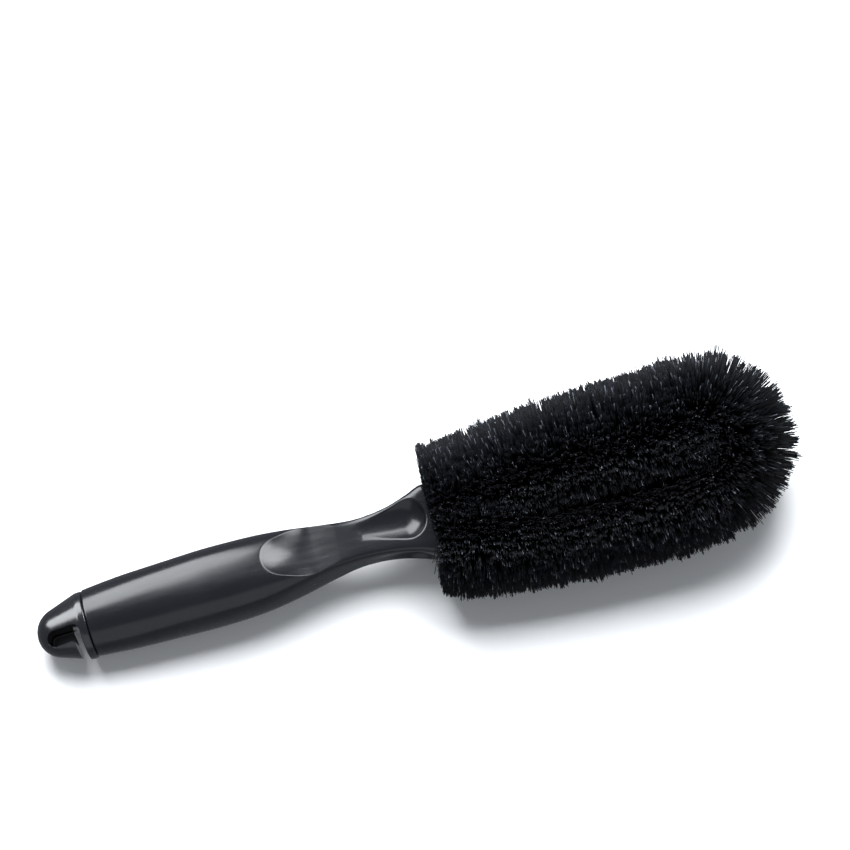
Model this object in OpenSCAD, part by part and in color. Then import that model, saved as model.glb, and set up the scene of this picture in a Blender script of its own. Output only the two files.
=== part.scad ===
// Hand brush for cleaning wheels: a twisted-in-wire brush bent into a loop, its two
// stems held in the neck of a hollow moulded handle, with a push-in end cap whose
// tip is a hanging hook. It is drawn lying down, as it rests on a table.

/* [Overall] */
// Length from the tip of the end cap to the tips of the nose bristles
overall_l = 270; // [250:1:300]
// Angle at which the brush lies, nose up, because the head is fatter than the handle
lie_angle = 3.6; // [2:0.1:5]

/* [Handle] */
// Where the handle starts, measured from the cap's tip
seam_x = 18.8; // [17:0.1:20]
// Where the collar's face is, measured from the cap's tip
collar_x = 142; // [138:0.5:148]
// Width of the handle at its belly
belly_w = 27; // [24:0.5:32]
// Width of the neck at its narrowest
neck_w = 15; // [14.5:0.5:18]
// Width of the collar
collar_w = 25; // [22:0.5:30]
// Radius of the cavity behind the neck
cavity_r = 8.8; // [7:0.1:9]
// Where the cavity stops and the solid neck starts
cavity_x = 78; // [70:1:80]

/* [End cap] */
// Radius of the cap's lip, a little inside the handle's edge
lip_r = 11.7; // [11:0.1:11.8]
// Length of the cap's straight lip
lip_l = 2.8; // [2:0.1:3.2]
// Radius of the spigot that is pushed into the handle
spigot_r = 9.6; // [9.4:0.1:9.8]
// Length of the spigot
spigot_l = 12; // [8:0.5:16]
// Width of the hook's slot
slot_w = 5; // [4.4:0.1:5.2]
// Width of the slot's mouth, beside the lip
mouth_w = 3.2; // [2.5:0.1:4]

/* [Wire] */
// Diameter of each of the two wire strands
strand_d = 2.2; // [1.6:0.1:2.4]
// Length of wire that one full turn of the twist takes
twist_pitch = 10; // [7:0.5:14]
// Distance between the two stems in the neck
stem_gap = 7.5; // [7:0.1:8]
// Distance between the two legs of the loop at its widest
loop_w = 20; // [16:0.5:24]
// Where the legs reach that distance, measured from the cap's tip
loop_x = 215; // [195:1:225]
// Where the stems end inside the handle
stem_x = 69; // [66:0.5:71]

/* [Bristles] */
// Radius of the bristles round the wire
bristle_r = 22.5; // [18:0.5:25]

/* [Hidden] */
$fn = 64;

plastic_black = [0.06, 0.06, 0.065];
bristle_black = [0.03, 0.03, 0.03];
zinc_grey = [0.62, 0.64, 0.66];

// Length of the collar's straight rim and of the flare before it, and the bevel of its edge
collar_l = 1.5;
flare_l = 5.3;
collar_edge = 0.4;
// The stations of the handle's outside: distance from the cap's tip, width, thickness,
// and how square the section is, from 2 for an ellipse upwards.
STATIONS = [
    [seam_x, 24.3, 23.8, 2.15],
    [32, belly_w - 1.6, 24.4, 2.5],
    [47, belly_w - 0.5, 25, 2.8],
    [64, belly_w, 25.2, 2.9],
    [81, belly_w - 1.8, 23.3, 2.9],
    [92, belly_w - 5.6, 19.6, 3],
    [102, neck_w + 2.2, 15.8, 3.3],
    [116, neck_w, 12.9, 3.6],
    [127, neck_w + 2.2, 13.4, 3.4],
    [collar_x - collar_l - flare_l, neck_w + 6, 16, 3],
    [collar_x - collar_l, collar_w, 19.2, 2.7],
    [collar_x - collar_edge, collar_w, 19.2, 2.7],
    [collar_x, collar_w - 2 * collar_edge, 19.2 - 2 * collar_edge, 2.7]
];
STATION_STEPS = 3;
SECTION_POINTS = 40;

clearance = 0.05;
// How far a cutter runs past the face that it opens
overcut = 1;
twist_r = strand_d;
// Room that the twisted wire takes, with its clearance
bore_r = twist_r + clearance;
stem_y = stem_gap / 2;
leg_y = loop_w / 2;
nose_x = overall_l - bristle_r - leg_y;
bristle_x = collar_x + 1;
rear_half_t = STATIONS[0][2] / 2;
lift = rear_half_t * cos(lie_angle) - seam_x * sin(lie_angle);
// The bristles' tips on the nose set the far end of the laid brush.
laid_l = (nose_x + leg_y) * cos(lie_angle) + bristle_r;

// Lays the brush down: nose up by the angle at which it lies, lowest edge on the floor,
// the middle of its length at the origin.
module laid() {
    translate([-laid_l / 2, 0, lift])
        rotate([0, -lie_angle, 0])
            children();
}

// ---- Handle ----

// A smooth value between rows i and i + 1 of column c, at t from 0 to 1.
function smooth_at(rows, i, t, c) =
    let (
        n = len(rows),
        before = rows[max(i - 1, 0)][c],
        from = rows[i][c],
        to = rows[i + 1][c],
        after = rows[min(i + 2, n - 1)][c]
    )
    from + t * (to - before) / 2
    + t * t * (before - 2.5 * from + 2 * to - after / 2)
    + t * t * t * (1.5 * (from - to) + (after - before) / 2);

function signed_power(v, p) = sign(v) * pow(abs(v), p);

// One ring of the handle's outside.
function section(x, w, t, squareness) = [
    for (k = [0 : SECTION_POINTS - 1])
        let (a = 360 * k / SECTION_POINTS)
        [
            x,
            w / 2 * signed_power(cos(a), 2 / squareness),
            t / 2 * signed_power(sin(a), 2 / squareness)
        ]
];

// The rings between the first and the last station, straight where they are close.
function handle_rings() = [
    for (i = [0 : len(STATIONS) - 2])
        let (steps = STATIONS[i + 1][0] - STATIONS[i][0] > 2 ? STATION_STEPS : 1)
        for (j = [0 : steps - 1])
            let (t = j / steps)
            section(
                STATIONS[i][0] + t * (STATIONS[i + 1][0] - STATIONS[i][0]),
                smooth_at(STATIONS, i, t, 1),
                smooth_at(STATIONS, i, t, 2),
                smooth_at(STATIONS, i, t, 3)
            ),
    section(STATIONS[len(STATIONS) - 1][0], STATIONS[len(STATIONS) - 1][1],
            STATIONS[len(STATIONS) - 1][2], STATIONS[len(STATIONS) - 1][3])
];

// A closed skin over a list of rings that all have the same number of points.
module skin(rings) {
    n = len(rings[0]);
    last = len(rings) - 1;
    sides = [
        for (i = [0 : last - 1])
            for (k = [0 : n - 1])
                let (
                    a = i * n + k,
                    b = i * n + (k + 1) % n
                )
                each [[a, b, b + n], [a, b + n, a + n]]
    ];
    near_end = [for (k = [0 : n - 1]) n - 1 - k];
    far_end = [for (k = [0 : n - 1]) last * n + k];
    polyhedron(
        points = [for (ring = rings) each ring],
        faces = concat(sides, [near_end], [far_end])
    );
}

// A round-ended finger channel that ends at x = 0 and rises gently away from there.
module channel(r, length, rise) {
    rotate([0, rise, 0]) {
        sphere(r = r);
        rotate([0, -90, 0])
            cylinder(r = r, h = length);
    }
}

// The thumb dimple on one face of the shoulder.
dimple_r = 24;
dimple_x = 98;
dimple_floor = 6.3;
// The channels that run up the four faces of the neck and end just short of the collar.
channel_r = 9;
channel_end_x = collar_x - 9.8;
channel_floor = 5.9;
channel_l = 30;
channel_rise = 3;
side_floor = 7.2;
side_channel_r = 7;
side_channel_end_x = collar_x - 8.5;

module handle_cuts() {
    translate([dimple_x, 0, dimple_floor + dimple_r])
        sphere(r = dimple_r);
    for (flip = [0, 180])
        rotate([flip, 0, 0])
            translate([channel_end_x, 0, channel_floor + channel_r])
                channel(channel_r, channel_l, channel_rise);
    for (flip = [90, 270])
        rotate([flip, 0, 0])
            translate([side_channel_end_x, 0, side_floor + side_channel_r])
                channel(side_channel_r, channel_l, channel_rise);
}

// The socket is a little deeper than the spigot is long.
socket_l = spigot_l + 1;

module handle() {
    color(plastic_black)
        laid()
            difference() {
                skin(handle_rings());
                handle_cuts();
                translate([seam_x - overcut, 0, 0])
                    rotate([0, 90, 0])
                        cylinder(r = spigot_r, h = socket_l + overcut);
                translate([seam_x, 0, 0])
                    rotate([0, 90, 0])
                        cylinder(r = cavity_r, h = cavity_x - seam_x);
                for (side = [-1, 1])
                    translate([cavity_x - overcut, side * stem_y, 0])
                        rotate([0, 90, 0])
                            cylinder(r = bore_r, h = collar_x - cavity_x + 2 * overcut);
            }
}

// ---- End cap ----

cap_tip_r = 8.4;
// Half of the cone's angle, between the domed tip and the lip
cone_angle = 19;
cone_x = seam_x - lip_l;
lip_bevel = 0.3;
spigot_wall = 2.2;
spigot_bevel = 0.8;
DOME_STEPS = 10;

// The cap's outline from its tip to its lip, as [distance along the axis, radius].
function cap_outline() = concat(
    [[0, 0]],
    [
        for (k = [1 : DOME_STEPS])
            let (a = (90 - cone_angle) * k / DOME_STEPS)
            [cap_tip_r * (1 - cos(a)), cap_tip_r * sin(a)]
    ],
    [[cone_x, lip_r - lip_bevel], [cone_x + lip_bevel, lip_r], [seam_x, lip_r]],
    [[seam_x, spigot_r - clearance]],
    [[seam_x + spigot_l - spigot_bevel, spigot_r - clearance]],
    [[seam_x + spigot_l, spigot_r - spigot_bevel]],
    [[seam_x + spigot_l, spigot_r - spigot_wall]],
    [[seam_x + spigot_bevel, spigot_r - spigot_wall]],
    [[seam_x, spigot_r - spigot_wall - spigot_bevel], [seam_x, 0]]
);

slot_near_tip_x = 4;
slot_top_y = -0.4;
slot_bottom_y = slot_top_y - slot_w;
// What is left of the cone between the slot and the lip
slot_margin = 0.4;
slot_end_x = cone_x - slot_margin;
bar_inset = 1.1;
reach = 40;

// The hook: a slot through the cap, open on one side beside the lip, so that the
// bar below the slot ends free.
module hook_slot() {
    slot_r = slot_w / 2;
    translate([0, slot_top_y - slot_r, -reach / 2]) {
        translate([slot_near_tip_x + slot_r, 0, 0])
            cylinder(r = slot_r, h = reach);
        translate([slot_near_tip_x + slot_r, -slot_r, 0])
            cube([slot_end_x - slot_near_tip_x - slot_r, slot_w, reach]);
    }
    translate([slot_end_x - mouth_w, -reach, -reach / 2])
        cube([mouth_w, reach + slot_bottom_y + overcut, reach]);
}

module end_cap() {
    color(plastic_black)
        laid()
            difference() {
                rotate([0, 90, 0])
                    rotate_extrude()
                        polygon([for (p = cap_outline()) [p[1], p[0]]]);
                hook_slot();
                translate([0, -lip_r - reach + bar_inset, -reach / 2])
                    cube([slot_end_x, reach, reach]);
            }
}

// ---- Wire ----

// The middle line of the twisted wire, as a list of points from one stem's end, round
// the loop, to the other stem's end.
LEG_STEPS = 24;
NOSE_STEPS = 18;
// The stems are still straight for this length behind the collar's face.
straight_l = 2;
half_line = concat(
    [[stem_x, stem_y], [collar_x - straight_l, stem_y]],
    [
        for (k = [0 : LEG_STEPS])
            let (u = k / LEG_STEPS)
            [collar_x + u * (loop_x - collar_x), stem_y + (leg_y - stem_y) * sin(90 * u)]
    ],
    [
        for (k = [0 : NOSE_STEPS])
            let (a = 90 * k / NOSE_STEPS)
            [nose_x + leg_y * sin(a), leg_y * cos(a)]
    ]
);
other_half = [
    for (k = [len(half_line) - 2 : -1 : 0])
        [half_line[k][0], -half_line[k][1]]
];
wire_line = concat(half_line, other_half);
wire_at = [
    for (i = 0, s = 0; i < len(wire_line);
         s = s + (i < len(wire_line) - 1 ? norm(wire_line[i + 1] - wire_line[i]) : 0),
         i = i + 1)
        s
];
wire_l = wire_at[len(wire_at) - 1];
wire_x = [for (i = [0 : len(wire_line) - 1]) [wire_at[i], wire_line[i][0]]];
wire_y = [for (i = [0 : len(wire_line) - 1]) [wire_at[i], wire_line[i][1]]];

RINGS_A_TURN = 6;
STRAND_SIDES = 6;
// The strands stop this short of the middle line's ends.
STRAND_END = 0.3;
// Half of the length over which a strand's direction is taken.
STRAND_STEP = 0.2;

function unit(v) = v / norm(v);
function middle(s) = [lookup(s, wire_x), lookup(s, wire_y), 0];
function across(s) =
    let (d = unit(middle(min(s + 1, wire_l)) - middle(max(s - 1, 0))))
    [-d[1], d[0], 0];

// The middle of one strand, which winds round the wire's middle line.
function strand_at(s, phase) =
    let (a = 360 * s / twist_pitch + phase)
    middle(s) + strand_d / 2 * (cos(a) * across(s) + sin(a) * [0, 0, 1]);

function strand_ring(s, phase) =
    let (
        here = strand_at(s, phase),
        along = unit(strand_at(s + STRAND_STEP, phase) - strand_at(s - STRAND_STEP, phase)),
        out = unit(here - middle(s)),
        side = cross(along, out)
    )
    [
        for (k = [0 : STRAND_SIDES - 1])
            let (a = 360 * k / STRAND_SIDES)
            here + strand_d / 2 * (cos(a) * out + sin(a) * side)
    ];

module strand(phase) {
    count = round(wire_l / twist_pitch * RINGS_A_TURN);
    color(zinc_grey)
        laid()
            skin([
                for (k = [0 : count])
                    strand_ring(STRAND_END + (wire_l - 2 * STRAND_END) * k / count, phase)
            ]);
}

module wire_strand_a() {
    strand(0);
}

module wire_strand_b() {
    strand(180);
}

// ---- Ferrule that holds the two stems together behind the neck ----

ferrule_l = 7;
ferrule_wall = 1.2;

module stadium(r) {
    hull()
        for (side = [-1, 1])
            translate([0, side * stem_y])
                circle(r = r, $fn = 32);
}

module stem_ferrule() {
    color(zinc_grey)
        laid()
            translate([cavity_x - ferrule_l, 0, 0])
                rotate([0, 90, 0])
                    difference() {
                        linear_extrude(ferrule_l)
                            stadium(twist_r + ferrule_wall);
                        for (side = [-1, 1])
                            translate([0, side * stem_y, -overcut])
                                cylinder(r = bore_r, h = ferrule_l + 2 * overcut);
                    }
}

// ---- Bristles ----

BRISTLE_POINTS = 36;
BRISTLE_STEPS = 14;
half_gap = 0.1;
root_r = 0.93;

// How far the bristles of one leg reach in direction a: as far as the other leg's
// bristles on the inner side, and their full length elsewhere.
function reach_at(y, r, a) = cos(a) < 0 ? min(r, (y - half_gap) / -cos(a)) : r;

function leg_ring(x, r) =
    let (
        u = min((x - collar_x) / (loop_x - collar_x), 1),
        y = stem_y + (leg_y - stem_y) * sin(90 * u)
    )
    [
        for (k = [0 : BRISTLE_POINTS - 1])
            let (
                a = 360 * k / BRISTLE_POINTS,
                d = reach_at(y, r, a)
            )
            [x, y + d * cos(a), d * sin(a)]
    ];

// A closed skin over a list of rings whose last ring meets the first, as round a tube.
module tube_skin(rings) {
    n = len(rings[0]);
    count = len(rings);
    polyhedron(
        points = [for (ring = rings) each ring],
        faces = [
            for (i = [0 : count - 1])
                for (k = [0 : n - 1])
                    let (
                        a = i * n + k,
                        b = i * n + (k + 1) % n,
                        c = (i + 1) % count * n + (k + 1) % n,
                        d = (i + 1) % count * n + k
                    )
                    each [[a, b, c], [a, c, d]]
        ]
    );
}

first_turns_l = 5;

// Where the rings of one leg's bristles are.
leg_stations = concat(
    [bristle_x],
    [
        for (k = [0 : BRISTLE_STEPS])
            bristle_x + first_turns_l
            + (nose_x - half_gap - bristle_x - first_turns_l) * k / BRISTLE_STEPS
    ]
);

// The bristles of one leg, a little shorter in the first turns beside the collar, with
// the room that the wire takes.
module leg_bristles(side) {
    last = len(leg_stations) - 1;
    color(bristle_black)
        difference() {
            laid()
                mirror([0, side < 0 ? 1 : 0, 0])
                    tube_skin(concat(
                        [
                            for (i = [0 : last])
                                leg_ring(leg_stations[i], i == 0 ? bristle_r * root_r : bristle_r)
                        ],
                        [for (i = [last : -1 : 0]) leg_ring(leg_stations[i], bore_r)]
                    ));
            floor_block();
        }
}

// Everything below the surface that the brush lies on, where the tips are pressed flat.
module floor_block() {
    size = 2 * overall_l;
    translate([-size / 2, -size / 2, -size])
        cube(size);
}

module bristles_left_leg() {
    leg_bristles(1);
}

module bristles_right_leg() {
    leg_bristles(-1);
}

// The bristles that fan out round the end of the loop.
module bristles_nose() {
    color(bristle_black)
        laid()
            translate([nose_x, 0, 0])
                rotate([0, 0, -90])
                    difference() {
                        rotate_extrude(angle = 180)
                            intersection() {
                                translate([leg_y, 0])
                                    circle(r = bristle_r);
                                translate([0, -overall_l / 2])
                                    square([overall_l, overall_l]);
                            }
                        rotate_extrude(angle = 180)
                            translate([leg_y, 0])
                                circle(r = bore_r);
                    }
}

handle();
end_cap();
wire_strand_a();
wire_strand_b();
stem_ferrule();
bristles_left_leg();
bristles_right_leg();
bristles_nose();
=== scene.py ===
import math

import bmesh
import bpy
import numpy as np
from mathutils import Matrix, Vector


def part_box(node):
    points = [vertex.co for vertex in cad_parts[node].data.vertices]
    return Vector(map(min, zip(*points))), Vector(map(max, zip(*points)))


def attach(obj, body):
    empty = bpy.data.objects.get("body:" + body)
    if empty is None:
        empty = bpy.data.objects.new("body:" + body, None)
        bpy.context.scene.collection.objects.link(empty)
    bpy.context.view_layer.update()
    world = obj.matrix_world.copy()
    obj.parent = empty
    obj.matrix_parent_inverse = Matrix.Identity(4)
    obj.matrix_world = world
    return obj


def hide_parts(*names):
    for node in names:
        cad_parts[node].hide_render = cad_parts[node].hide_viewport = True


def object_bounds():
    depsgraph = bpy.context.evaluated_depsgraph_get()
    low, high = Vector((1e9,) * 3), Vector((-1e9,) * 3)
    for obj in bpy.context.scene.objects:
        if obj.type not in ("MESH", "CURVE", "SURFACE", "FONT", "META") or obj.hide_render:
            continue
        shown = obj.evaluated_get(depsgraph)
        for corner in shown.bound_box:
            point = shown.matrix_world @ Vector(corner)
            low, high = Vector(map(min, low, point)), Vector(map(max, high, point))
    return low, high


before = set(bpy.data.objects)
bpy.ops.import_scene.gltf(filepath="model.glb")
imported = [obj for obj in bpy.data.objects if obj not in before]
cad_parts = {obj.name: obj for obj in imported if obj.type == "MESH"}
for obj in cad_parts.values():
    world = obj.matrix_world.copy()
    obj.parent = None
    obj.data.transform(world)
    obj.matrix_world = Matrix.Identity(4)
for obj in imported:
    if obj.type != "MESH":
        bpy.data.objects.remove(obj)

cad_low, cad_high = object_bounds()
scene = bpy.context.scene

# ---- Sizes, in millimetres along the brush's own axis from the cap's tip ----

MM = 0.001
SEAM_X = 18.8
CAVITY_X = 78.0
COLLAR_X = 142.0
STEM_X = 69.0
STEM_Y = 3.75
LEG_Y = 10.0
LEG_X = 215.0
NOSE_X = 237.5
BRISTLE_R = 22.5
STRAND_D = 2.2
TWIST_PITCH = 10.0
LIE_ANGLE = math.radians(3.6)
# Points closer than this, in metres, are one point.
WELD = 2e-6
# Height of a surface that is nowhere near.
FAR = 99.0

# The brush's own frame: x along it from the cap's tip, z out of the face with the dimple.
nose_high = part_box("bristles_nose")[1]
axis_lift = nose_high.z / MM - (NOSE_X + LEG_Y) * math.sin(LIE_ANGLE) - BRISTLE_R
LAID = (
    Matrix.Translation((cad_low.x, 0, axis_lift * MM))
    @ Matrix.Rotation(-LIE_ANGLE, 4, "Y")
    @ Matrix.Scale(MM, 4)
)
LAID_NP = np.array(LAID)


def laid(points):
    """Points in the brush's own millimetres, as points in the frame, in metres."""
    points = np.asarray(points, float)
    return points @ LAID_NP[:3, :3].T + LAID_NP[:3, 3]


# ---- Small helpers ----

def linear(code):
    """An sRGB hex colour as linear red, green, blue and alpha."""
    parts = [int(code[i : i + 2], 16) / 255 for i in (0, 2, 4)]
    return [c / 12.92 if c <= 0.04045 else ((c + 0.055) / 1.055) ** 2.4 for c in parts] + [1]


def new_object(name, data):
    """An object at the origin, in the scene."""
    obj = bpy.data.objects.new(name, data)
    scene.collection.objects.link(obj)
    return obj


def evaluated_mesh(obj):
    """The object's mesh with its modifiers or its curve's bevel applied."""
    graph = bpy.context.evaluated_depsgraph_get()
    return bpy.data.meshes.new_from_object(obj.evaluated_get(graph), depsgraph=graph)


def finish_piece(obj, material, slot, *nodes):
    """Gives a finished piece its material and its body, and hides the parts it stands for.
    Its slot argument is not used.
    """
    obj.data.materials.clear()
    obj.data.materials.append(material)
    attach(obj, "root")
    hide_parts(*nodes)
    return obj


def smoothstep(t):
    """An even rise from 0 to 1 as t goes from 0 to 1."""
    t = np.clip(t, 0, 1)
    return t * t * (3 - 2 * t)


def soft_min(a, b, softness):
    """The smaller of two heights, with the corner between them rounded."""
    h = np.clip(0.5 + (b - a) / (2 * softness), 0, 1)
    return b + (a - b) * h - softness * h * (1 - h)


def smooth_rows(rows, x):
    """Every column of a table whose first column is x, smoothly interpolated."""
    table = np.array(rows, float)
    xs, values = table[:, 0], table[:, 1:]
    slopes = np.gradient(values, xs, axis=0)
    i = np.clip(np.searchsorted(xs, x) - 1, 0, len(xs) - 2)
    gap = (xs[i + 1] - xs[i])[:, None]
    t = ((x - xs[i]) / (xs[i + 1] - xs[i]))[:, None]
    return (
        values[i] * (1 + 2 * t) * (1 - t) ** 2
        + slopes[i] * gap * t * (1 - t) ** 2
        + values[i + 1] * t * t * (3 - 2 * t)
        + slopes[i + 1] * gap * t * t * (t - 1)
    )


def wrapped_grid(name, rows, columns, place):
    """A closed tube: a flat grid whose rows are wrapped round by place(row, turn)."""
    mesh = bmesh.new()
    bmesh.ops.create_grid(mesh, x_segments=rows, y_segments=columns, size=0.5)
    flat = np.array([v.co for v in mesh.verts]) + 0.5
    placed = laid(place(flat[:, 0], flat[:, 1]))
    for vert, co in zip(mesh.verts, placed):
        vert.co = co
    bmesh.ops.remove_doubles(mesh, verts=mesh.verts, dist=WELD)
    open_edges = [e for e in mesh.edges if e.is_boundary]
    bmesh.ops.holes_fill(mesh, edges=open_edges, sides=0)
    bmesh.ops.recalc_face_normals(mesh, faces=mesh.faces)
    for face in mesh.faces:
        face.smooth = True
    data = bpy.data.meshes.new(name)
    mesh.to_mesh(data)
    mesh.free()
    return new_object(name, data)


# ---- Materials ----

def new_material(name):
    """A material with its node tree and its shader."""
    material = bpy.data.materials.new(name)
    material.use_nodes = True
    tree = material.node_tree
    return material, tree, tree.nodes["Principled BSDF"]


def add(tree, kind, links=None, **settings):
    """Adds a node. Settings are its properties or, by name, its input values."""
    made = tree.nodes.new(kind)
    for key, value in settings.items():
        if key in made.inputs:
            made.inputs[key].default_value = value
        elif key.replace("_", " ") in made.inputs:
            made.inputs[key.replace("_", " ")].default_value = value
        else:
            setattr(made, key, value)
    for key, source in (links or {}).items():
        tree.links.new(source, made.inputs[key])
    return made


def moulded_plastic(name, base, roughness, grain_mm, depth, ior):
    """Injection-moulded black polypropylene: glossy, with the faint orange peel and the
    flow clouds of a moulding, and hair-fine handling marks that dull it here and there."""
    material, tree, shader = new_material(name)
    place = add(tree, "ShaderNodeTexCoord").outputs["Object"]
    clouds = add(tree, "ShaderNodeTexNoise", {"Vector": place}, Scale=1 / (14 * MM), Detail=3.0)
    tone = add(tree, "ShaderNodeValToRGB", {"Fac": clouds.outputs["Fac"]})
    tone.color_ramp.elements[0].position = 0.3
    tone.color_ramp.elements[0].color = linear(base)
    tone.color_ramp.elements[1].position = 0.75
    tone.color_ramp.elements[1].color = [c * 1.35 for c in linear(base)[:3]] + [1]
    tree.links.new(tone.outputs["Color"], shader.inputs["Base Color"])
    # Marks run along the handle, so the pattern is stretched that way.
    stretch = add(tree, "ShaderNodeMapping", {"Vector": place}, Scale=(0.12, 1, 1))
    marks = add(
        tree, "ShaderNodeTexNoise", {"Vector": stretch.outputs["Vector"]},
        Scale=1 / (1.6 * MM), Detail=6.0, Roughness=0.6,
    )
    dull = add(
        tree, "ShaderNodeMapRange", {"Value": marks.outputs["Fac"]},
        From_Min=0.35, From_Max=0.75, To_Min=roughness * 0.9, To_Max=roughness * 1.3,
    )
    tree.links.new(dull.outputs["Result"], shader.inputs["Roughness"])
    peel = add(tree, "ShaderNodeTexNoise", {"Vector": place}, Scale=1 / (grain_mm * MM), Detail=2.0)
    bump = add(
        tree, "ShaderNodeBump", {"Height": peel.outputs["Fac"]}, Strength=0.35, Distance=depth * MM,
    )
    tree.links.new(bump.outputs["Normal"], shader.inputs["Normal"])
    shader.inputs["IOR"].default_value = ior
    return material


def coated_steel(name, dark, pale, mottle_mm):
    """Zinc-coated steel: dull grey, mottled by the coat's crystals, brighter where rubbed."""
    material, tree, shader = new_material(name)
    place = add(tree, "ShaderNodeTexCoord").outputs["Object"]
    mottle = add(
        tree, "ShaderNodeTexNoise", {"Vector": place}, Scale=1 / (mottle_mm * MM), Detail=4.0,
    )
    tone = add(tree, "ShaderNodeValToRGB", {"Fac": mottle.outputs["Fac"]})
    tone.color_ramp.elements[0].color = linear(dark)
    tone.color_ramp.elements[1].color = linear(pale)
    tree.links.new(tone.outputs["Color"], shader.inputs["Base Color"])
    rough = add(
        tree, "ShaderNodeMapRange", {"Value": mottle.outputs["Fac"]}, To_Min=0.32, To_Max=0.55,
    )
    tree.links.new(rough.outputs["Result"], shader.inputs["Roughness"])
    shader.inputs["Metallic"].default_value = 1.0
    return material


def bristle_filament():
    """Extruded black polypropylene filament: nearly black with a blue cast, because light dies between
    the strands, and the roots are painted darker still as painted shade between them. A few strands'
    cut tips are painted pale as fine specks: painted highlights where the tips catch the light."""
    material, tree, shader = new_material("extruded_polypropylene_filament")
    along = add(tree, "ShaderNodeAttribute", attribute_name="along").outputs["Fac"]
    shade = add(tree, "ShaderNodeAttribute", attribute_name="shade").outputs["Fac"]
    tone = add(tree, "ShaderNodeValToRGB", {"Fac": shade})
    tone.color_ramp.elements[0].color = linear("0A0B0E")
    tone.color_ramp.elements[1].color = linear("686C74")
    tone.color_ramp.elements[0].position = 0.5
    # Past 0.94 the strands' tips turn pale: painted highlights for the specks where cut tips catch the
    # light.
    bright = tone.color_ramp.elements.new(0.94)
    bright.color = linear("171A20")
    # Roots take a darker colour than the tips: painted shade deep between the strands.
    tip = add(tree, "ShaderNodeMapRange", {"Value": along}, From_Min=0.8, From_Max=1.0)
    mixed = add(
        tree, "ShaderNodeMix", {0: tip.outputs["Result"], 7: tone.outputs["Color"]},
        data_type="RGBA",
    )
    mixed.inputs[6].default_value = linear("06070A")
    tree.links.new(mixed.outputs[2], shader.inputs["Base Color"])
    rough = add(tree, "ShaderNodeMapRange", {"Value": shade}, To_Min=0.5, To_Max=0.3)
    tree.links.new(rough.outputs["Result"], shader.inputs["Roughness"])
    shader.inputs["Specular IOR Level"].default_value = 0.12
    return material


handle_plastic = moulded_plastic("moulded_polypropylene_handle", "0F1014", 0.22, 0.9, 0.014, 1.46)
cap_plastic = moulded_plastic("moulded_polypropylene_cap", "0F1014", 0.19, 0.7, 0.006, 1.58)
wire_zinc = coated_steel("galvanised_steel_wire", "8E9294", "B9BDBF", 0.9)
ferrule_zinc = coated_steel("zinc_plated_steel_ferrule", "9A9EA2", "C2C6C8", 2.5)
filament = bristle_filament()

# ---- Handle ----

# Distance from the cap's tip, half the width, half the thickness, half the distance
# across the bevelled corners, how crisp the corners are, and how far it is rolled.
SECTIONS = [
    (SEAM_X, 12.4, 11.7, 12.3, 5.5, 10),
    (32, 13.1, 12.3, 13.2, 7, 13),
    (47, 13.3, 12.5, 13.8, 8, 14),
    (64, 13.5, 12.6, 14.2, 9, 14),
    (82, 12.6, 11.7, 13.4, 10, 14),
    (93, 10.7, 9.8, 12.2, 12, 13),
    (103, 8.7, 7.4, 10.7, 14, 12),
    (117, 7.4, 5.8, 8.9, 15, 9),
    (128, 8.5, 7.1, 10.7, 15, 4),
    (135.5, 10.6, 8.8, 13.4, 14, 2),
    (COLLAR_X - 1.0, 12.6, 9.5, 15.1, 13, 1),
    (COLLAR_X, 12.6, 9.5, 15.1, 13, 1),
]
HANDLE_ROWS = 380
HANDLE_COLUMNS = 240
EDGE_R = 0.35
# The handle stands to one side of its axis, more so towards the neck.
GRIP_BOW = 0.4
NECK_BOW = 0.9
BOW_X = 70
BOW_L = 45


def eight_sided(turn, side, top, corner, crispness):
    """Distance from the axis to a rounded eight-sided outline, at an angle."""
    total = 0
    for k, reach in enumerate((side, corner, top, corner) * 2):
        facing = np.clip(np.cos(turn - k * math.pi / 4), 0, None)
        total = total + (facing / reach) ** crispness
    return total ** (-1 / crispness)


# Finger channels on the neck's two broad faces and its two sides. Each has a floor that is
# so far from the axis, a radius, a rise away from the collar, and a softness of its rim.
CHANNEL_END_X = COLLAR_X - 9.7
CHANNEL_Y = 1.7
CHANNEL_FLOOR = 5.2
CHANNEL_R = 9.6
CHANNEL_RISE = 0.01
CHANNEL_SOFTNESS = 0.35
SIDE_END_X = CHANNEL_END_X + 1
SIDE_FLOOR = 7.0
SIDE_R = 7.0
SIDE_RISE = 0.06
SIDE_SOFTNESS = 0.7
# From here towards the grip every channel runs out, at this slope.
FADE_X = 117.0
FADE_SLOPE = 0.2


def channel_floor(along, across, end_x, floor, radius, rise):
    """Height of a round-ended finger channel's surface, far above where there is none."""
    fade = np.clip(FADE_X - along, 0, None)
    centre = floor + radius + rise * np.clip(end_x - along, 0, None) + FADE_SLOPE * fade
    inside = radius**2 - across**2 - np.clip(along - end_x, 0, None) ** 2
    return np.where(inside > 0, centre - np.sqrt(np.clip(inside, 0, None)), FAR)


def broad_channel(x, y):
    return channel_floor(x, y - CHANNEL_Y, CHANNEL_END_X, CHANNEL_FLOOR, CHANNEL_R, CHANNEL_RISE)


def side_channel(x, z):
    return channel_floor(x, z, SIDE_END_X, SIDE_FLOOR, SIDE_R, SIDE_RISE)


DIMPLE_X = 100.5
DIMPLE_Y = -0.4
DIMPLE_R = 36.0
DIMPLE_FLOOR = 6.4
DIMPLE_ACROSS_R = 20.0
DIMPLE_DISH_L = 13
DIMPLE_END_X = 113
DIMPLE_SOFTNESS = 0.08


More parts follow.
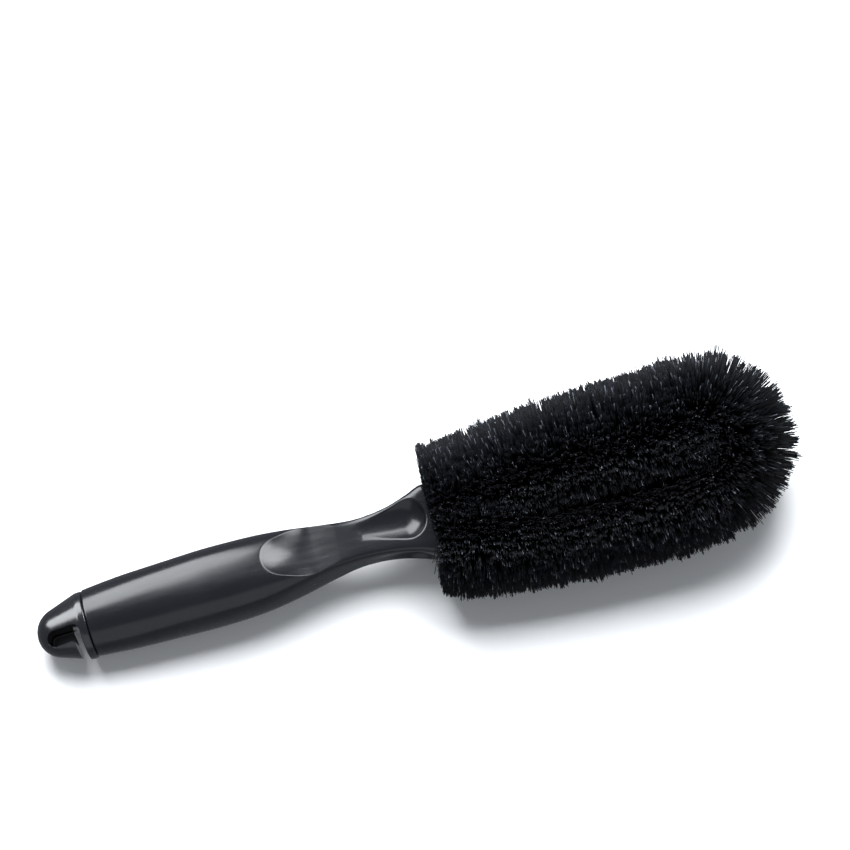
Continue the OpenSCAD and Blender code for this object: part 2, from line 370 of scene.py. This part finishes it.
def dimple_floor(x, y):
    """Height of the thumb dimple's surface: a scoop whose back wall is dished, and whose
    front runs out flat into the neck."""
    back = np.clip(DIMPLE_X - x, 0, DIMPLE_R)
    scoop = DIMPLE_FLOOR + DIMPLE_R - np.sqrt(DIMPLE_R**2 - back**2)
    dish = smoothstep(back / DIMPLE_DISH_L) * (y - DIMPLE_Y) ** 2 / (2 * DIMPLE_ACROSS_R)
    return np.where(x < DIMPLE_END_X, scoop + dish, FAR)


def handle_shape(row, turn):
    """Points of the handle, at a share of its length and a share of a turn round it."""
    x = SEAM_X + row * (COLLAR_X - SEAM_X)
    side, top, corner, crispness, roll = smooth_rows(SECTIONS, x).T
    angle = turn * 2 * math.pi
    reach = eight_sided(angle, side, top, corner, crispness)
    # Both rims are rounded over.
    rim = np.minimum(x - SEAM_X, COLLAR_X - x)
    reach = reach - EDGE_R + np.sqrt(np.clip(EDGE_R**2 - np.clip(EDGE_R - rim, 0, None) ** 2, 0, None))
    y, z = reach * np.cos(angle), reach * np.sin(angle)
    up = soft_min(z, broad_channel(x, y), CHANNEL_SOFTNESS)
    up = soft_min(up, dimple_floor(x, y), DIMPLE_SOFTNESS)
    down = soft_min(-z, broad_channel(x, y), CHANNEL_SOFTNESS)
    z = np.where(z > 0, up, -down)
    out = soft_min(y, side_channel(x, z), SIDE_SOFTNESS)
    back = soft_min(-y, side_channel(x, z), SIDE_SOFTNESS)
    y = np.where(y > 0, out, -back)
    # A positive roll turns the dimple's face away from the mouth's side of the brush.
    tilt = np.radians(roll)
    bow = GRIP_BOW + NECK_BOW * smoothstep((x - BOW_X) / BOW_L)
    return np.stack(
        [x, y * np.cos(tilt) + z * np.sin(tilt) + bow, z * np.cos(tilt) - y * np.sin(tilt)], 1
    )


handle = wrapped_grid("handle_moulding", HANDLE_ROWS, HANDLE_COLUMNS, handle_shape)
finish_piece(handle, handle_plastic, "handle_plastic", "handle")

# ---- End cap ----

LIP_R = 11.85
LIP_L = 2.8
CAP_TIP_R = 8.8
CONE_ANGLE = math.radians(19)
CONE_X = 6.5
LIP_X = SEAM_X - LIP_L
LIP_EDGE_R = 0.3
CONE_INSET = 0.12
SEAM_GAP = 0.16
SPIGOT_R = 9.55
SPIGOT_L = 3
SLOT_W = 5.4
SLOT_TOP_Y = 0.0
SLOT_NEAR_TIP_X = 3.8
SLOT_END_X = LIP_X - 0.2
MOUTH_W = 2.6
# The web low in the slot is a sheet put in so that the pocket shows dark, standing in for the shade
# there; it also gives the pocket its ledge.
WEB_LOW_Z = -5.2
WEB_HIGH_Z = -4.0
CUT_Z = 20
CAP_STEPS = 144
CAP_WELD = 0.002
CAP_VOXEL = 0.2
CAP_SMOOTHINGS = 5


def cap_outline():
    """The cap's outline from its tip to the end of its spigot, as (x, radius)."""
    dome = [
        (CAP_TIP_R * (1 - math.cos(a)), CAP_TIP_R * math.sin(a))
        for a in np.linspace(0, math.pi / 2 - CONE_ANGLE, 20)
    ]
    rise = (LIP_R - CONE_INSET - dome[-1][1]) / (LIP_X - dome[-1][0])
    cone = [(x, dome[-1][1] + rise * (x - dome[-1][0])) for x in np.linspace(CONE_X, LIP_X, 8)]
    # The lip eases in from the cone and is rounded over at the seam.
    lip = [
        (LIP_X + 0.4, LIP_R - 0.03),
        (LIP_X + 0.9, LIP_R),
        (SEAM_X - SEAM_GAP - LIP_EDGE_R, LIP_R),
        (SEAM_X - SEAM_GAP - 0.08, LIP_R - 0.08),
        (SEAM_X - SEAM_GAP, LIP_R - LIP_EDGE_R),
        (SEAM_X - SEAM_GAP, SPIGOT_R),
        (SEAM_X + SPIGOT_L, SPIGOT_R),
        (SEAM_X + SPIGOT_L, 0),
    ]
    return dome + cone + lip


def prism(name, outline, low, high):
    """A closed block over an outline in the plane of the hook, to cut with."""
    block = bmesh.new()
    face = block.faces.new([block.verts.new((x, y, low)) for x, y in outline])
    raised = bmesh.ops.extrude_face_region(block, geom=[face])
    moved = [g for g in raised["geom"] if isinstance(g, bmesh.types.BMVert)]
    bmesh.ops.translate(block, verts=moved, vec=(0, 0, high - low))
    bmesh.ops.recalc_face_normals(block, faces=block.faces)
    data = bpy.data.meshes.new(name)
    block.to_mesh(data)
    block.free()
    return new_object(name, data)


def slot_cutters():
    """The hook's slot, with a thin web low inside it that stands in for shade, and the mouth right
    through.
    """
    half = SLOT_W / 2
    middle_y = SLOT_TOP_Y - half
    slot_y = SLOT_TOP_Y - SLOT_W
    slot = [
        (SLOT_NEAR_TIP_X + half - half * math.cos(a), middle_y + half * math.sin(a))
        for a in np.linspace(-math.pi / 2, math.pi / 2, 17)
    ]
    right = [
        (SLOT_END_X - 2.2, SLOT_TOP_Y),
        (SLOT_END_X - 0.7, SLOT_TOP_Y - 0.8),
        (SLOT_END_X, SLOT_TOP_Y - 2.4),
    ]
    mouth = [
        (SLOT_END_X - MOUTH_W - 1.3, SLOT_TOP_Y - 0.4),
        *right,
        (SLOT_END_X, slot_y - 2),
        (SLOT_END_X + 0.3, -CUT_Z),
        (SLOT_END_X - MOUTH_W + 0.9, -CUT_Z),
        (SLOT_END_X - MOUTH_W - 0.4, slot_y - 0.5),
    ]
    pocket = slot + right + [(SLOT_END_X - MOUTH_W, slot_y)]
    return [
        prism("pocket_over_web", pocket, WEB_HIGH_Z, CUT_Z),
        prism("pocket_under_web", pocket, -CUT_Z, WEB_LOW_Z),
        prism("mouth", mouth, -CUT_Z, CUT_Z),
    ]


def make_cap():
    """The cap, spun from its outline, with the hook cut into it."""
    shell = bmesh.new()
    outline = [shell.verts.new((x, r, 0)) for x, r in cap_outline()]
    edges = [shell.edges.new(pair) for pair in zip(outline, outline[1:])]
    bmesh.ops.spin(
        shell, geom=outline + edges, cent=(0, 0, 0), axis=(1, 0, 0), dvec=(0, 0, 0),
        angle=2 * math.pi, steps=CAP_STEPS, use_merge=True,
    )
    bmesh.ops.remove_doubles(shell, verts=shell.verts, dist=CAP_WELD)
    bmesh.ops.recalc_face_normals(shell, faces=shell.faces)
    data = bpy.data.meshes.new("cap_blank")
    shell.to_mesh(data)
    shell.free()
    blank = new_object("cap_blank", data)
    cutters = slot_cutters()
    for cutter in cutters:
        cut = blank.modifiers.new(cutter.name, "BOOLEAN")
        cut.object = cutter
        cut.solver = "EXACT"
    # A fine voxel skin and a few smoothing steps give every edge a moulding's radius.
    skin = blank.modifiers.new("skin", "REMESH")
    skin.mode = "VOXEL"
    skin.voxel_size = CAP_VOXEL
    soft = blank.modifiers.new("soft", "SMOOTH")
    soft.factor = 0.5
    soft.iterations = CAP_SMOOTHINGS
    mesh = evaluated_mesh(blank)
    mesh.transform(LAID)
    for polygon in mesh.polygons:
        polygon.use_smooth = True
    for used in [blank, *cutters]:
        bpy.data.objects.remove(used)
    return new_object("end_cap_moulding", mesh)


end_cap = make_cap()
finish_piece(end_cap, cap_plastic, "cap_plastic", "end_cap")

# ---- Twisted wire ----

HEAD_ROLL = math.radians(15)
HEAD_ROLL_L = 45
WIRE_STEP = 0.7
WIRE_END = 0.4
# How the loop was bent sideways by hand: from where, over what length and how far.
SIDE_BENDS = [
    (CAVITY_X, 35, 0.9),
    (COLLAR_X, 18, -1.4),
    (222, 28, 2.0),
    (160, 50, -0.4),
]


def leg_spread(x):
    """How far each leg is from the loop's middle."""
    share = np.clip((x - COLLAR_X) / (LEG_X - COLLAR_X), 0, 1)
    return STEM_Y + (LEG_Y - STEM_Y) * np.sin(math.pi / 2 * share)


LEG_XS = np.linspace(STEM_X, NOSE_X, 400)
LEG_STEPS = np.hypot(np.diff(LEG_XS), np.diff(leg_spread(LEG_XS)))
LEG_LENGTHS = np.concatenate([[0], np.cumsum(LEG_STEPS)])
LEG_L = LEG_LENGTHS[-1]
HALF_L = LEG_L + LEG_Y * math.pi / 2
HEAD_S = np.interp(COLLAR_X + 0.4, LEG_XS, LEG_LENGTHS)


def line_point(s):
    """The middle line of one leg and half the nose, at distances s from the stem's end, as
    the distance along the brush and the distance out to the side."""
    x = np.interp(s, LEG_LENGTHS, LEG_XS)
    y = leg_spread(x)
    bend = np.clip((s - LEG_L) / LEG_Y, 0, math.pi / 2)
    x = np.where(s > LEG_L, NOSE_X + LEG_Y * np.sin(bend), x)
    y = np.where(s > LEG_L, LEG_Y * np.cos(bend), y)
    return x, y


def head_roll(x):
    """How far the loop is turned out of the handle's plane."""
    return HEAD_ROLL * smoothstep((x - COLLAR_X) / HEAD_ROLL_L)


def wire_middle(s):
    """Points on the whole loop's middle line at distances s from one stem's end."""
    other = s > HALF_L
    x, y = line_point(np.where(other, 2 * HALF_L - s, s))
    y = np.where(other, -y, y)
    # The stems follow the neck. Past the collar the loop is turned and skewed a little.
    roll = head_roll(x)
    skew = sum(shift * smoothstep((x - start) / length) for start, length, shift in SIDE_BENDS)
    return np.stack([x, y * np.cos(roll) + skew, y * np.sin(roll)], 1)


def wire_frames(s):
    """Middle points with unit vectors along the wire, outwards in the loop's plane, and up."""
    here = wire_middle(s)
    along = wire_middle(s + 0.5) - wire_middle(s - 0.5)
    along /= np.linalg.norm(along, axis=1)[:, None]
    roll = head_roll(here[:, 0])
    up = np.stack([0 * roll, -np.sin(roll), np.cos(roll)], 1)
    up -= along * np.sum(up * along, axis=1)[:, None]
    up /= np.linalg.norm(up, axis=1)[:, None]
    return here, along, np.cross(up, along), up


def tube_curve(name, depth, resolution):
    """An empty curve whose lines become closed round tubes."""
    curve = bpy.data.curves.new(name, "CURVE")
    curve.dimensions = "3D"
    curve.bevel_depth = depth
    curve.bevel_resolution = resolution
    curve.use_fill_caps = True
    return curve


def make_wire(name, phase, node):
    """One of the two strands, wound round the loop's middle line."""
    curve = tube_curve(name, STRAND_D / 2 * MM, 2)
    s = np.arange(WIRE_END, 2 * HALF_L - WIRE_END, WIRE_STEP)
    here, along, out, up = wire_frames(s)
    turn = 2 * math.pi * s / TWIST_PITCH + phase
    points = here + STRAND_D / 2 * (np.cos(turn)[:, None] * out + np.sin(turn)[:, None] * up)
    spline = curve.splines.new("POLY")
    spline.points.add(len(points) - 1)
    spline.points.foreach_set("co", np.c_[laid(points), np.ones(len(points))].ravel())
    rough = new_object(name + "_line", curve)
    wire = new_object(name, evaluated_mesh(rough))
    for polygon in wire.data.polygons:
        polygon.use_smooth = True
    bpy.data.objects.remove(rough)
    finish_piece(wire, wire_zinc, "galvanised_wire", node)


make_wire("twisted_wire_a", 0, "wire_strand_a")
make_wire("twisted_wire_b", math.pi, "wire_strand_b")

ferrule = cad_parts["stem_ferrule"]
ferrule.data.materials.clear()
ferrule.data.materials.append(ferrule_zinc)

# ---- Bristles ----

TUFTS = 11500
STRANDS_A_TUFT = 5
CURVED_SHARE = 0.5
ROOT_D = 0.32
TIP_D = 0.26
ROOT_R = 1.0
BEND_SHARE = 0.55
GOLDEN_TURN = math.pi * (3 - math.sqrt(5))
# The collar crowds this share of the tufts together at each end, over this length.
CROWDED_SHARE = 0.03
CROWDED_L = 1.8
# Where the groove between the legs begins and ends, and over what length.
GROOVE_X = 158
GROOVE_START_L = 26
GROOVE_END_X = 228
GROOVE_END_L = 14
# How far past upright the filaments of a leg spill, in radians, and what is added to that
# in the groove. The near leg's stand back there, so theirs is taken off.
SPILL = 0.1
FAR_GROOVE_SPILL = 0.2
NEAR_GROOVE_SPILL = -0.42
# Round the nose they spread this far to each side of straight out.
NOSE_SPREAD = math.radians(150)
NOSE_SPREAD_L = 16
# Spacing of the clumps on top and of the sheets at the sides, and how firmly they draw.
CLUMP_MM = 2.2
SHEET_MM = 3.2
CLUMP_PULL = 0.4
SHEET_PULL = 0.85
CLUMP_LENGTH_CHANGE = 0.035
# The nose's filaments are longer, and the first turns on the near leg are worn short.
NOSE_REACH = 1.03
NOSE_REACH_L = 9
NOSE_REACH_SHIFT = 4
WORN_SHARE = 0.1
WORN_L = 5
# How unevenly the filaments stand, each as one standard deviation: a tuft's angle, lean and
# reach, then a filament's place, angle, lean and reach, and the curl of its middle and tip.
TUFT_TURN_SPREAD = 0.25
TUFT_LEAN_SPREAD = 0.04
TUFT_REACH_SPREAD = 0.03
PLACE_SPREAD = 0.4
ANGLE_SPREAD = 0.02
LEAN_SPREAD = 0.015
REACH_SPREAD = 0.015
MIDDLE_CURL = 0.25
TIP_CURL = 0.12
# How far the twist draws the tufts towards its two sides, in radians.
TWIST_CROWDING = 0.1
# Filaments beyond this on the near side stray further back over the collar than the rest.
STRAY_Y = -12
STRAY_L = 1.8
REST_STRAY_L = 0.3
# On the far side the first turns lean forward, by this much at this distance out.
FORWARD_LEAN = 2.2
FORWARD_LEAN_Y = 24
# How far a filament under the head is pushed sideways for each millimetre it is pressed up.
FLOOR_SPLAY = 0.3
# How clear the filaments keep of the floor and of the collar.
CLEAR = 0.3
# The clumps' hearts repeat after this many.
CLUMP_CELLS = 97
# The most filaments in one piece.
MOST_BENT = 9000
MOST_STRAIGHT = 15000
rng = np.random.default_rng(27)
clump_hearts = rng.uniform(0, 1, (CLUMP_CELLS, CLUMP_CELLS, 3))


def floor_height(points):
    """How high points in the brush's own frame are above what it lies on."""
    return laid(points)[:, 2] / MM


def nearest_clump(cell):
    """The way to the nearest clump's heart, of hearts strewn one to a cell, and how much
    longer or shorter than the rest that clump is."""
    whole = np.floor(cell).astype(int)
    best = np.full((len(cell), 2), 9.0)
    length = np.zeros(len(cell))
    for step in np.ndindex(3, 3):
        there = whole + np.array(step) - 1
        heart = clump_hearts[there[:, 0] % CLUMP_CELLS, there[:, 1] % CLUMP_CELLS]
        way = there + heart[:, :2] - cell
        nearer = np.hypot(*way.T) < np.hypot(*best.T)
        best[nearer] = way[nearer]
        length[nearer] = heart[nearer, 2] - 0.5
    return best, length


def place_tufts():
    """Each tuft's distance along the wire, its angle round it, its lean and its reach."""
    spacing = (2 * HALF_L - 2 * HEAD_S) / TUFTS
    tuft_s = HEAD_S + spacing * (np.arange(TUFTS) + rng.uniform(0, 1, TUFTS))
    crowd = rng.uniform(0, 1, TUFTS)
    first = HEAD_S + CROWDED_L * crowd / CROWDED_SHARE
    last = 2 * HALF_L - HEAD_S - CROWDED_L * (1 - crowd) / CROWDED_SHARE
    tuft_s = np.where(crowd < CROWDED_SHARE, first, tuft_s)
    tuft_s = np.where(crowd > 1 - CROWDED_SHARE, last, tuft_s)
    # Each tuft is a stage further round than the last, so that none is left bare, and the
    # wire's twist only shows as a slight crowding.
    turn = GOLDEN_TURN * np.arange(TUFTS) + rng.normal(0, TUFT_TURN_SPREAD, TUFTS)
    turn += TWIST_CROWDING * np.sin(2 * (turn - 2 * math.pi * tuft_s / TWIST_PITCH))
    # The filaments between the legs are crowded out, so all of them spread round the open
    # side. Along the groove the far leg's lie over and the near leg's stand back.
    middle_line = wire_middle(tuft_s)
    half_gap = np.hypot(middle_line[:, 1], middle_line[:, 2])
    x = middle_line[:, 0]
    groove_start = smoothstep((x - GROOVE_X) / GROOVE_START_L)
    groove = groove_start * (1 - smoothstep((x - GROOVE_END_X) / GROOVE_END_L))
    groove_spill = np.where(tuft_s < HALF_L, FAR_GROOVE_SPILL, NEAR_GROOVE_SPILL)
    above = np.sin(turn) > 0
    open_side = math.pi / 2 + np.arcsin(np.clip(half_gap / BRISTLE_R, 0, 1))
    open_side = open_side + (SPILL + groove_spill * groove) * above
    open_side = np.where(np.abs(tuft_s - HALF_L) < NOSE_SPREAD_L, NOSE_SPREAD, open_side)
    tuft_turn = ((turn + math.pi) % (2 * math.pi) - math.pi) / math.pi * open_side
    tuft_lean = rng.normal(0, TUFT_LEAN_SPREAD, TUFTS)
    tuft_reach = BRISTLE_R * (1 + rng.normal(0, TUFT_REACH_SPREAD, TUFTS))
    return tuft_s, tuft_turn, tuft_lean, tuft_reach


def draw_together(s, angle):
    """How far each tip is drawn along the wire and round it, as a share of its reach, and
    how much longer or shorter than the rest its clump is."""
    # The clumps are larger round the nose, where the tips fan out.
    on_nose = np.abs(s - HALF_L) < HALF_L - LEG_L
    fan = np.where(on_nose, 1 + np.cos(angle) * BRISTLE_R / LEG_Y, 1.0)
    fan = np.clip(fan, 1.0, None)
    cell = np.stack([s / (CLUMP_MM / fan), angle * BRISTLE_R / CLUMP_MM], 1)
    to_heart, length = nearest_clump(cell)
    firmness = CLUMP_PULL * (1 + np.abs(np.cos(angle)))
    pull = firmness[:, None] * to_heart * CLUMP_MM / BRISTLE_R
    # Out at the sides the tips stand in the sheets that the twist lays them in.
    gap = SHEET_MM / np.sqrt(fan)
    turns = angle / (2 * math.pi)
    sheet = np.round(s / gap - turns).astype(int)
    at = (sheet + turns + 0.5 * clump_hearts[sheet % CLUMP_CELLS, 0, 0]) * gap
    sideways = smoothstep((np.cos(angle) - 0.3) / 0.5)
    sheeted = SHEET_PULL * np.clip((at - s) * fan, -3, 3) / BRISTLE_R
    pull[:, 0] += sideways * (sheeted - pull[:, 0])
    return pull, length


def keep_clear(middle, tip, s):
    """Moves filaments off the collar and off what the head lies on."""
    # The collar keeps the first turns upright, and on the far side they lean forward, but a
    # few stray back over it at the near corner.
    stray = rng.exponential(np.where(tip[:, 1] < STRAY_Y, STRAY_L, REST_STRAY_L))
    keep = COLLAR_X + 0.1 + FORWARD_LEAN * np.clip(tip[:, 1] / FORWARD_LEAN_Y, 0, 1)
    tip[:, 0] += np.clip(keep - stray - tip[:, 0], 0, None)
    middle[:, 0] = np.maximum(middle[:, 0], COLLAR_X + CLEAR)
    # Those under the head are pressed flat by its weight, and splay a little.
    own_side = np.where(s > HALF_L, -1, 1)
    low = np.clip(CLEAR - floor_height(tip), 0, None)
    splay = own_side * FLOOR_SPLAY * low
    tip = tip + np.stack([low * math.sin(LIE_ANGLE), splay, low * math.cos(LIE_ANGLE)], 1)
    middle[:, 2] += np.clip(CLEAR - floor_height(middle), 0, None)
    return middle, tip


def bristle_strands():
    """Root, middle and tip of every filament, and its distance along the wire."""
    tuft_s, tuft_turn, tuft_lean, tuft_reach = place_tufts()
    count = TUFTS * STRANDS_A_TUFT
    tuft = np.repeat(np.arange(TUFTS), STRANDS_A_TUFT)
    s = tuft_s[tuft] + rng.normal(0, PLACE_SPREAD, count)
    s = np.clip(s, HEAD_S, 2 * HALF_L - HEAD_S)
    angle = tuft_turn[tuft] + rng.normal(0, ANGLE_SPREAD, count)
    lean = tuft_lean[tuft] + rng.normal(0, LEAN_SPREAD, count)
    reach = tuft_reach[tuft] * (1 + rng.normal(0, REACH_SPREAD, count))
    here, along, out, up = wire_frames(s)
    radial = np.cos(angle)[:, None] * out + np.sin(angle)[:, None] * up
    pull, length = draw_together(s, angle)
    reach *= 1 + CLUMP_LENGTH_CHANGE * length
    at_nose = np.abs(s - HALF_L + NOSE_REACH_SHIFT) < NOSE_REACH_L
    reach *= np.where(at_nose, NOSE_REACH, 1.0)
    reach *= 1 - WORN_SHARE * np.exp(-(2 * HALF_L - HEAD_S - s) / WORN_L)
    tip_angle = angle + pull[:, 1]
    fanned = np.cos(tip_angle)[:, None] * out + np.sin(tip_angle)[:, None] * up
    direction = fanned + (lean + pull[:, 0])[:, None] * along
    direction /= np.linalg.norm(direction, axis=1)[:, None]
    root = here + ROOT_R * radial
    tip = here + reach[:, None] * direction
    middle = here + BEND_SHARE * reach[:, None] * direction
    middle = middle + rng.normal(0, MIDDLE_CURL, (count, 3))
    tip = tip + rng.normal(0, TIP_CURL, (count, 3))
    middle, tip = keep_clear(middle, tip, s)
    return root, middle, tip, s


def make_bristles(name, lines, widths, node):
    """One piece of filaments, each a thin tube along its line of points."""
    count, points, _ = lines.shape
    curve = tube_curve(name, MM / 2, 0)
    co = np.concatenate([laid(lines.reshape(-1, 3)), np.ones((count * points, 1))], 1)
    for row in co.reshape(count, 4 * points):
        spline = curve.splines.new("POLY")
        spline.points.add(points - 1)
        spline.points.foreach_set("co", row)
        spline.points.foreach_set("radius", widths)
    rough = new_object(name + "_lines", curve)
    piece = new_object(name, evaluated_mesh(rough))
    bpy.data.objects.remove(rough)
    # The conversion lists the strands' end caps first, last strand first, then the tubes.
    shade = rng.uniform(0, 1, count)
    steps = np.linspace(0, 1, points)
    values = {
        "along": [np.tile(np.repeat([1.0, 0.0], 4), count), np.tile(np.repeat(steps, 4), count)],
        "shade": [np.repeat(shade[::-1], 8), np.repeat(shade, 4 * points)],
    }
    for key, (caps, tubes) in values.items():
        data = piece.data.attributes.new(key, "FLOAT", "POINT")
        data.data.foreach_set("value", np.concatenate([caps, tubes]))
    welded = bmesh.new()
    welded.from_mesh(piece.data)
    bmesh.ops.remove_doubles(welded, verts=welded.verts, dist=WELD)
    welded.to_mesh(piece.data)
    welded.free()
    finish_piece(piece, filament, "bristle_filament", node)


def make_head():
    """All filaments, as pieces for each leg and the nose that stay under the STL's limit."""
    root, middle, tip, s = bristle_strands()
    on_nose = np.abs(s - HALF_L) < HALF_L - LEG_L
    curved = rng.uniform(0, 1, len(s)) < CURVED_SHARE
    bent = np.stack([root, middle, tip], 1)
    straight = np.stack([root, tip], 1)
    groups = {
        "bristles_left_leg": ~on_nose & (s < HALF_L),
        "bristles_right_leg": ~on_nose & (s > HALF_L),
        "bristles_nose": on_nose,
    }
    for node, chosen in groups.items():
        for kind, lines, most in (("bent", bent, MOST_BENT), ("straight", straight, MOST_STRAIGHT)):
            index = np.flatnonzero(chosen & (curved == (kind == "bent")))
            widths = np.linspace(ROOT_D, TIP_D, lines.shape[1])
            for k, part in enumerate(np.array_split(index, math.ceil(len(index) / most))):
                make_bristles(f"{node}_{kind}_{k + 1}", lines[part], widths, node)


make_head()

# ---- Floor, light and camera ----

VIEW_TURN = math.radians(15.7)
VIEW_HEIGHT = math.radians(78)
VIEW_DISTANCE = 1.2
# Width of what the camera sees at the brush, and where the brush's centre is in it, in metres.
VIEW_WIDTH = 0.2913
CENTRE_RIGHT = -0.00343
CENTRE_UP = -0.0353
LIGHT_COLOUR = (0.94, 0.97, 1.0)


def make_floor():
    """A matt white table, which shows only the soft shadow."""
    mesh = bmesh.new()
    bmesh.ops.create_grid(mesh, x_segments=1, y_segments=1, size=3)
    data = bpy.data.meshes.new("floor")
    mesh.to_mesh(data)
    mesh.free()
    floor = new_object("floor", data)
    material, tree, shader = new_material("matt_white_table")
    shader.inputs["Base Color"].default_value = linear("F4F4F4")
    shader.inputs["Roughness"].default_value = 0.9
    shader.inputs["Specular IOR Level"].default_value = 0.1
    floor.data.materials.append(material)
    # Glossy plastic would mirror a floor this bright along every lower edge.
    floor.visible_glossy = False


forward = Vector((
    math.sin(VIEW_TURN) * math.cos(VIEW_HEIGHT),
    math.cos(VIEW_TURN) * math.cos(VIEW_HEIGHT),
    -math.sin(VIEW_HEIGHT),
))
right = forward.cross(Vector((0, 0, 1))).normalized()
upward = right.cross(forward)
centre = (cad_low + cad_high) / 2


def make_camera():
    """A long lens from above, a little off square to the brush."""
    camera = new_object("camera", bpy.data.cameras.new("camera"))
    offset = right * CENTRE_RIGHT + upward * CENTRE_UP
    camera.location = centre - forward * VIEW_DISTANCE - offset
    camera.rotation_euler = forward.to_track_quat("-Z", "Y").to_euler()
    camera.data.lens = VIEW_DISTANCE * camera.data.sensor_width / VIEW_WIDTH
    camera.data.clip_end = 20
    scene.camera = camera


def area_light(name, lean, turn, distance, width, height, watts):
    """A softbox that leans back from straight overhead, away from the viewer, in degrees."""
    light = bpy.data.lights.new(name, "AREA")
    light.shape = "RECTANGLE"
    light.size = width
    light.size_y = height
    light.energy = watts
    light.color = LIGHT_COLOUR
    obj = new_object(name, light)
    tilt = math.radians(lean)
    round_z = Matrix.Rotation(-VIEW_TURN - math.radians(turn), 3, "Z")
    away = round_z @ Vector((0, math.sin(tilt), math.cos(tilt)))
    obj.location = centre + away * distance
    obj.rotation_euler = (-away).to_track_quat("-Z", "Y").to_euler()
    return obj


def make_light():
    """Two softboxes that only show in the gloss, a key light that throws the shadow but
    doesn't show in the gloss, and a weak fill from the front."""
    area_light("left_softbox", 60, -47, 1.3, 1.25, 0.95, 39).visible_diffuse = False
    area_light("right_softbox", 50, 40, 1.3, 0.8, 0.8, 25).visible_diffuse = False
    area_light("key_light", 37, -8, 1.4, 1.1, 1.1, 62).visible_glossy = False
    area_light("front_fill", 66, 180, 1.5, 2.2, 1.4, 6)
    world = bpy.data.worlds.new("studio")
    scene.world = world
    world.use_nodes = True
    background = world.node_tree.nodes["Background"]
    background.inputs["Color"].default_value = linear("E8EDF5")
    background.inputs["Strength"].default_value = 0.28


make_floor()
make_camera()
make_light()
scene.view_settings.view_transform = "Standard"
